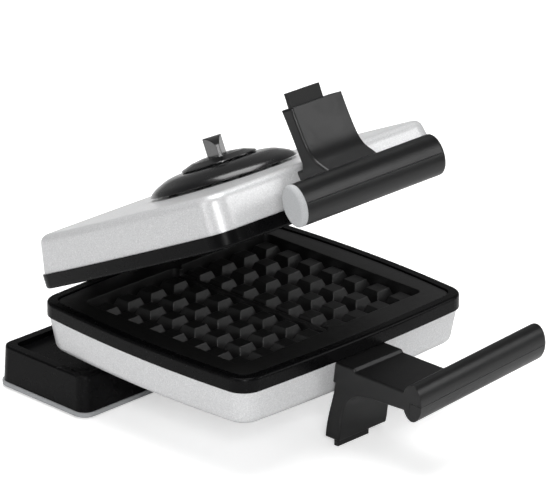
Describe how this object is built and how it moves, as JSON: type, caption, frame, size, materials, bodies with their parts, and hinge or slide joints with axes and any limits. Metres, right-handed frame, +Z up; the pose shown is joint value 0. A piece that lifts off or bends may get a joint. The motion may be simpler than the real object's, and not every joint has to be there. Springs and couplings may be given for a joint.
{
  "type": "rotating waffle maker",
  "caption": "Turn-over waffle iron: two hinged cooking halves with thermostat knob and long handles on a swivelling post above a low base.",
  "frame": {"origin": "on the table, under the middle of the iron", "axes": "+X along the hinge, to the right seen from the handles; +Y from the handles to the hinge; +Z up"},
  "size_m": [0.272, 0.3816, 0.2831],
  "materials": {
    "black_satin": "satin black moulding",
    "handle_black": "satin black, finely grained",
    "black_matte": "matte black",
    "gloss_black": "glossy black",
    "base_grey": "matte light grey",
    "cap_grey": "matte light grey",
    "white_plastic": "matte white",
    "silver_paint": "silver-white metallic paint",
    "nonstick": "black non-stick coating",
    "bright_aluminium": "bright rolled sheet",
    "steel": "satin",
    "bronze": "sintered",
    "rubber": "matte"
  },
  "bodies": {
    "base": {"base_housing": "black_satin", "base_plate": "base_grey", "base_feet": "rubber", "base_screws": "steel", "post_bush": "bronze", "cord_gland": "black_matte", "terminal_block": "white_plastic"},
    "swivel_post": {"swivel_post": "steel", "tilt_pin": "steel", "retaining_ring": "steel"},
    "lower_half": {"hinge_tee": "steel", "hinge_clips": "steel", "ear_pins": "steel", "lower_casing": "silver_paint", "lower_foot": "rubber", "lower_grid_plate": "nonstick", "lower_grip_cover": "handle_black", "lower_grip_screws": "steel", "lower_handle": "handle_black", "lower_handle_screws": "steel", "lower_heater": "steel", "lower_hinge_brackets": "steel", "lower_hinge_screws": "steel", "lower_plate_screws": "steel", "lower_reflector": "bright_aluminium", "lower_rim": "black_satin"},
    "bushes": {"hinge_bushes": "bronze"},
    "upper_half": {"upper_casing": "silver_paint", "upper_foot": "rubber", "upper_grid_plate": "nonstick", "upper_grip_cover": "handle_black", "upper_grip_screws": "steel", "upper_handle": "handle_black", "upper_handle_screws": "steel", "upper_heater": "steel", "upper_hinge_brackets": "steel", "upper_hinge_screws": "steel", "upper_plate_screws": "steel", "upper_reflector": "bright_aluminium", "upper_rim": "black_satin", "grip_end_cap": "cap_grey", "vent_dome": "gloss_black", "dome_standoffs": "black_matte", "thermostat_body": "black_matte"},
    "knob": {"thermostat_knob": "gloss_black", "thermostat_shaft": "steel"}
  },
  "joints": [
    {"name": "swivel", "type": "hinge", "parent": "base", "child": "swivel_post", "pos_m": [0, 0.144, 0.03], "axis": [0, 0, 1], "range_deg": [0, 180]},
    {"name": "tilt", "type": "hinge", "parent": "swivel_post", "child": "lower_half", "pos_m": [0, 0.144, 0.0915], "axis": [-1, 0, 0], "range_deg": [0, 180]},
    {"name": "lid_hinge", "type": "hinge", "parent": "lower_half", "child": "bushes", "pos_m": [0, 0.13, 0.0915], "axis": [1, 0, 0], "range_deg": [-70.3, 24.7]},
    {"name": "lid_float", "type": "slide", "parent": "bushes", "child": "upper_half", "axis": [0, -0.4179, -0.9085], "range_m": [-0.003, 0]},
    {"name": "thermostat_turn", "type": "hinge", "parent": "upper_half", "child": "knob", "pos_m": [0, 0.0387, 0.18974], "axis": [0, 0.4179, 0.9085], "range_deg": [0, 270]}
  ]
}
